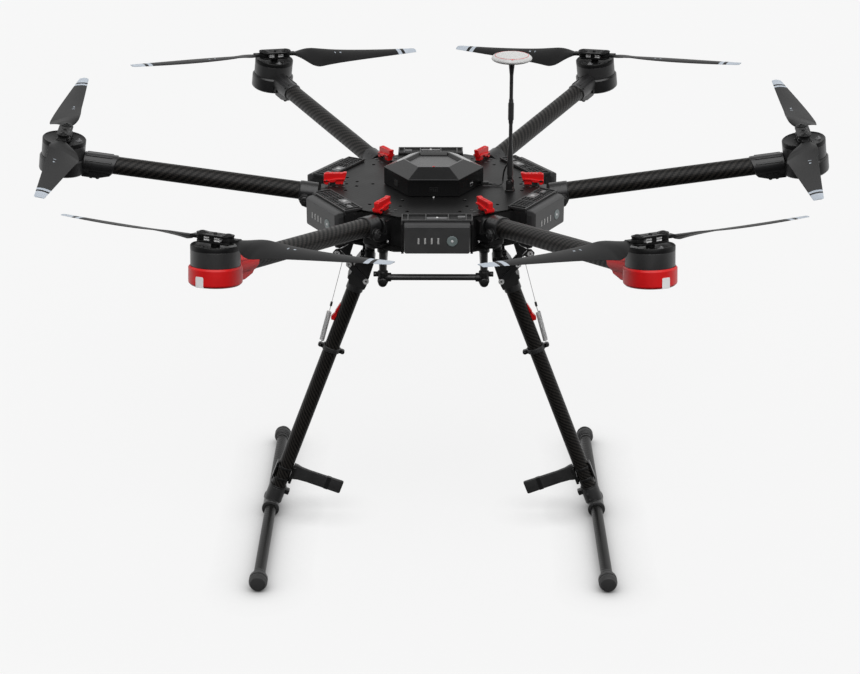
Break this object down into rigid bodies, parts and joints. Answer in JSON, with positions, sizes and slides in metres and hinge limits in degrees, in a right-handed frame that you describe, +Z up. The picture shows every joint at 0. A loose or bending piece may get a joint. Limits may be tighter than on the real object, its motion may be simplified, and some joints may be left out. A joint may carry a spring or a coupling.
{
  "type": "hexacopter drone",
  "caption": "Camera multirotor with folding arms, folding two-blade propellers, slide-out batteries, lock levers, folding sensor mast and retracting landing gear.",
  "frame": {"origin": "centre of the lower plate's underside, where a camera gimbal bolts on", "axes": "+Z up, -Y towards the nose with the two red motor mounts, +X to the right as seen from the front; the names say left and right as seen from the front"},
  "size_m": [1.2074, 1.239, 0.7713],
  "materials": {
    "black_plastic": "satin black moulded plastic",
    "red_plastic": "satin red moulded plastic",
    "carbon_tube": "carbon fibre tube, diagonal twill under clear coat",
    "carbon_plate": "satin carbon fibre plate",
    "blade_plastic": "dark grey moulded blade with pale tip bands",
    "battery_case": "dark grey textured plastic",
    "motor_metal": "satin black anodised metal",
    "rail_metal": "black anodised aluminium",
    "white_plastic": "pale satin plastic",
    "cable_rubber": "black cable jacket",
    "spring_steel": "bright spring steel"
  },
  "bodies": {
    "frame": {"top_plate": "carbon_plate", "lower_plate": "carbon_plate", "bay_frame": "black_plastic", "controller_cover": "black_plastic", "mast_base": "black_plastic", "sensor_cable": "cable_rubber", "gear_mount": "black_plastic", "payload_frame": "rail_metal"},
    "arm_right": {"arm_right": "carbon_tube", "motor_mount_right": "black_plastic"},
    "rotor_right": {"rotor_right": "motor_metal"},
    "blade_right_a": {"blade_right_a": "blade_plastic"},
    "blade_right_b": {"blade_right_b": "blade_plastic"},
    "arm_rear_right": {"arm_rear_right": "carbon_tube", "motor_mount_rear_right": "black_plastic"},
    "rotor_rear_right": {"rotor_rear_right": "motor_metal"},
    "blade_rear_right_a": {"blade_rear_right_a": "blade_plastic"},
    "blade_rear_right_b": {"blade_rear_right_b": "blade_plastic"},
    "arm_rear_left": {"arm_rear_left": "carbon_tube", "motor_mount_rear_left": "black_plastic"},
    "rotor_rear_left": {"rotor_rear_left": "motor_metal"},
    "blade_rear_left_a": {"blade_rear_left_a": "blade_plastic"},
    "blade_rear_left_b": {"blade_rear_left_b": "blade_plastic"},
    "arm_left": {"arm_left": "carbon_tube", "motor_mount_left": "black_plastic"},
    "rotor_left": {"rotor_left": "motor_metal"},
    "blade_left_a": {"blade_left_a": "blade_plastic"},
    "blade_left_b": {"blade_left_b": "blade_plastic"},
    "arm_front_left": {"arm_front_left": "carbon_tube", "motor_mount_front_left": "red_plastic"},
    "rotor_front_left": {"rotor_front_left": "motor_metal"},
    "blade_front_left_a": {"blade_front_left_a": "blade_plastic"},
    "blade_front_left_b": {"blade_front_left_b": "blade_plastic"},
    "arm_front_right": {"arm_front_right": "carbon_tube", "motor_mount_front_right": "red_plastic"},
    "rotor_front_right": {"rotor_front_right": "motor_metal"},
    "blade_front_right_a": {"blade_front_right_a": "blade_plastic"},
    "blade_front_right_b": {"blade_front_right_b": "blade_plastic"},
    "lock_lever_right": {"lock_lever_right": "red_plastic"},
    "lock_lever_rear_right": {"lock_lever_rear_right": "red_plastic"},
    "lock_lever_rear_left": {"lock_lever_rear_left": "red_plastic"},
    "lock_lever_left": {"lock_lever_left": "red_plastic"},
    "lock_lever_front_left": {"lock_lever_front_left": "red_plastic"},
    "lock_lever_front_right": {"lock_lever_front_right": "red_plastic"},
    "battery_rear_right": {"battery_rear_right": "battery_case"},
    "battery_rear": {"battery_rear": "battery_case"},
    "battery_rear_left": {"battery_rear_left": "battery_case"},
    "battery_front_left": {"battery_front_left": "battery_case"},
    "battery_front": {"battery_front": "battery_case"},
    "battery_front_right": {"battery_front_right": "battery_case"},
    "leg_right": {"leg_right": "carbon_tube", "skid_right": "carbon_tube", "antenna_right": "black_plastic", "gear_spring_right": "spring_steel"},
    "leg_left": {"leg_left": "carbon_tube", "skid_left": "carbon_tube", "antenna_left": "black_plastic", "gear_spring_left": "spring_steel"},
    "mast": {"sensor_mast": "rail_metal", "sensor_puck": "white_plastic"}
  },
  "joints": [
    {"name": "arm_fold_right", "type": "hinge", "parent": "frame", "child": "arm_right", "pos_m": [0.198, 0, 0.032], "axis": [0, -1, 0], "range_deg": [-85, 0]},
    {"name": "rotor_spin_right", "type": "hinge", "parent": "arm_right", "child": "rotor_right", "pos_m": [0.5665, 0, 0.09124], "axis": [-0.139, -0.0523, 0.9889], "continuous": true},
    {"name": "blade_fold_right_a", "type": "hinge", "parent": "rotor_right", "child": "blade_right_a", "pos_m": [0.56165, 0.0188, 0.13301], "axis": [0.139, 0.0523, -0.9889], "range_deg": [-78, 10]},
    {"name": "blade_fold_right_b", "type": "hinge", "parent": "rotor_right", "child": "blade_right_b", "pos_m": [0.55996, -0.02309, 0.13056], "axis": [-0.139, -0.0523, 0.9889], "range_deg": [-78, 10]},
    {"name": "arm_fold_rear_right", "type": "hinge", "parent": "frame", "child": "arm_rear_right", "pos_m": [0.099, 0.17147, 0.032], "axis": [0.866, -0.5, 0], "range_deg": [-85, 0]},
    {"name": "rotor_spin_rear_right", "type": "hinge", "parent": "arm_rear_right", "child": "rotor_rear_right", "pos_m": [0.28325, 0.4906, 0.09124], "axis": [-0.1148, -0.0942, 0.9889], "continuous": true},
    {"name": "blade_fold_rear_right_a", "type": "hinge", "parent": "rotor_rear_right", "child": "blade_rear_right_a", "pos_m": [0.29725, 0.47729, 0.13306], "axis": [-0.1148, -0.0942, 0.9889], "range_deg": [-78, 10]},
    {"name": "blade_fold_rear_right_b", "type": "hinge", "parent": "rotor_rear_right", "child": "blade_rear_right_b", "pos_m": [0.25983, 0.49619, 0.13051], "axis": [0.1148, 0.0942, -0.9889], "range_deg": [-78, 10]},
    {"name": "arm_fold_rear_left", "type": "hinge", "parent": "frame", "child": "arm_rear_left", "pos_m": [-0.099, 0.17147, 0.032], "axis": [0.866, 0.5, 0], "range_deg": [-85, 0]},
    {"name": "rotor_spin_rear_left", "type": "hinge", "parent": "arm_rear_left", "child": "rotor_rear_left", "pos_m": [-0.28325, 0.4906, 0.09124], "axis": [0.1148, -0.0942, 0.9889], "continuous": true},
    {"name": "blade_fold_rear_left_a", "type": "hinge", "parent": "rotor_rear_left", "child": "blade_rear_left_a", "pos_m": [-0.2598, 0.49613, 0.1305], "axis": [0.1148, -0.0942, 0.9889], "range_deg": [-78, 10]},
    {"name": "blade_fold_rear_left_b", "type": "hinge", "parent": "rotor_rear_left", "child": "blade_rear_left_b", "pos_m": [-0.29729, 0.47736, 0.13307], "axis": [-0.1148, 0.0942, -0.9889], "range_deg": [-78, 10]},
    {"name": "arm_fold_left", "type": "hinge", "parent": "frame", "child": "arm_left", "pos_m": [-0.198, 0, 0.032], "axis": [0, 1, 0], "range_deg": [-85, 0]},
    {"name": "rotor_spin_left", "type": "hinge", "parent": "arm_left", "child": "rotor_left", "pos_m": [-0.5665, 0, 0.09124], "axis": [0.139, -0.0523, 0.9889], "continuous": true},
    {"name": "blade_fold_left_a", "type": "hinge", "parent": "rotor_left", "child": "blade_left_a", "pos_m": [-0.56168, 0.0188, 0.13302], "axis": [0.139, -0.0523, 0.9889], "range_deg": [-78, 10]},
    {"name": "blade_fold_left_b", "type": "hinge", "parent": "rotor_left", "child": "blade_left_b", "pos_m": [-0.55992, -0.02309, 0.13055], "axis": [-0.139, 0.0523, -0.9889], "range_deg": [-78, 10]},
    {"name": "arm_fold_front_left", "type": "hinge", "parent": "frame", "child": "arm_front_left", "pos_m": [-0.099, -0.17147, 0.032], "axis": [-0.866, 0.5, 0], "range_deg": [-85, 0]},
    {"name": "rotor_spin_front_left", "type": "hinge", "parent": "arm_front_left", "child": "rotor_front_left", "pos_m": [-0.28325, -0.4906, 0.09124], "axis": [0.0242, 0.1465, 0.9889], "continuous": true},
    {"name": "blade_fold_front_left_a", "type": "hinge", "parent": "rotor_front_left", "child": "blade_front_left_a", "pos_m": [-0.30024, -0.47381, 0.13062], "axis": [0.0242, 0.1465, 0.9889], "range_deg": [-78, 10]},
    {"name": "blade_fold_front_left_b", "type": "hinge", "parent": "rotor_front_left", "child": "blade_front_left_b", "pos_m": [-0.26428, -0.49539, 0.13294], "axis": [-0.0242, -0.1465, -0.9889], "range_deg": [-78, 10]},
    {"name": "arm_fold_front_right", "type": "hinge", "parent": "frame", "child": "arm_front_right", "pos_m": [0.099, -0.17147, 0.032], "axis": [-0.866, -0.5, 0], "range_deg": [-85, 0]},
    {"name": "rotor_spin_front_right", "type": "hinge", "parent": "arm_front_right", "child": "rotor_front_right", "pos_m": [0.28325, -0.4906, 0.09124], "axis": [-0.0242, 0.1465, 0.9889], "continuous": true},
    {"name": "blade_fold_front_right_a", "type": "hinge", "parent": "rotor_front_right", "child": "blade_front_right_a", "pos_m": [0.3, -0.47342, 0.13056], "axis": [0.0242, -0.1465, -0.9889], "range_deg": [-78, 10]},
    {"name": "blade_fold_front_right_b", "type": "hinge", "parent": "rotor_front_right", "child": "blade_front_right_b", "pos_m": [0.26452, -0.49577, 0.13301], "axis": [-0.0242, 0.1465, 0.9889], "range_deg": [-78, 10]},
    {"name": "lever_right", "type": "hinge", "parent": "frame", "child": "lock_lever_right", "pos_m": [0.164, 0, 0.0576], "axis": [0, 1, 0], "range_deg": [0, 90]},
    {"name": "lever_rear_right", "type": "hinge", "parent": "frame", "child": "lock_lever_rear_right", "pos_m": [0.082, 0.14203, 0.0576], "axis": [-0.866, 0.5, 0], "range_deg": [0, 90]},
    {"name": "lever_rear_left", "type": "hinge", "parent": "frame", "child": "lock_lever_rear_left", "pos_m": [-0.082, 0.14203, 0.0576], "axis": [-0.866, -0.5, 0], "range_deg": [0, 90]},
    {"name": "lever_left", "type": "hinge", "parent": "frame", "child": "lock_lever_left", "pos_m": [-0.164, 0, 0.0576], "axis": [0, -1, 0], "range_deg": [0, 90]},
    {"name": "lever_front_left", "type": "hinge", "parent": "frame", "child": "lock_lever_front_left", "pos_m": [-0.082, -0.14203, 0.0576], "axis": [0.866, -0.5, 0], "range_deg": [0, 90]},
    {"name": "lever_front_right", "type": "hinge", "parent": "frame", "child": "lock_lever_front_right", "pos_m": [0.082, -0.14203, 0.0576], "axis": [0.866, 0.5, 0], "range_deg": [0, 90]},
    {"name": "battery_slide_rear_right", "type": "slide", "parent": "frame", "child": "battery_rear_right", "axis": [0.866, 0.5, 0], "range_m": [0, 0.11]},
    {"name": "battery_slide_rear", "type": "slide", "parent": "frame", "child": "battery_rear", "axis": [0, 1, 0], "range_m": [0, 0.11]},
    {"name": "battery_slide_rear_left", "type": "slide", "parent": "frame", "child": "battery_rear_left", "axis": [-0.866, 0.5, 0], "range_m": [0, 0.11]},
    {"name": "battery_slide_front_left", "type": "slide", "parent": "frame", "child": "battery_front_left", "axis": [-0.866, -0.5, 0], "range_m": [0, 0.11]},
    {"name": "battery_slide_front", "type": "slide", "parent": "frame", "child": "battery_front", "axis": [0, -1, 0], "range_m": [0, 0.11]},
    {"name": "battery_slide_front_right", "type": "slide", "parent": "frame", "child": "battery_front_right", "axis": [0.866, -0.5, 0], "range_m": [0, 0.11]},
    {"name": "gear_right", "type": "hinge", "parent": "frame", "child": "leg_right", "pos_m": [0.103, 0, -0.064], "axis": [0, -1, 0], "range_deg": [0, 65], "deforming": ["gear_spring_right"]},
    {"name": "gear_left", "type": "hinge", "parent": "frame", "child": "leg_left", "pos_m": [-0.103, 0, -0.064], "axis": [0, 1, 0], "range_deg": [0, 65], "deforming": ["gear_spring_left"]},
    {"name": "mast_fold", "type": "hinge", "parent": "frame", "child": "mast", "pos_m": [0.11569, -0.03187, 0.065], "axis": [0.2656, 0.9641, 0], "range_deg": [0, 80], "deforming": ["sensor_cable"]}
  ]
}
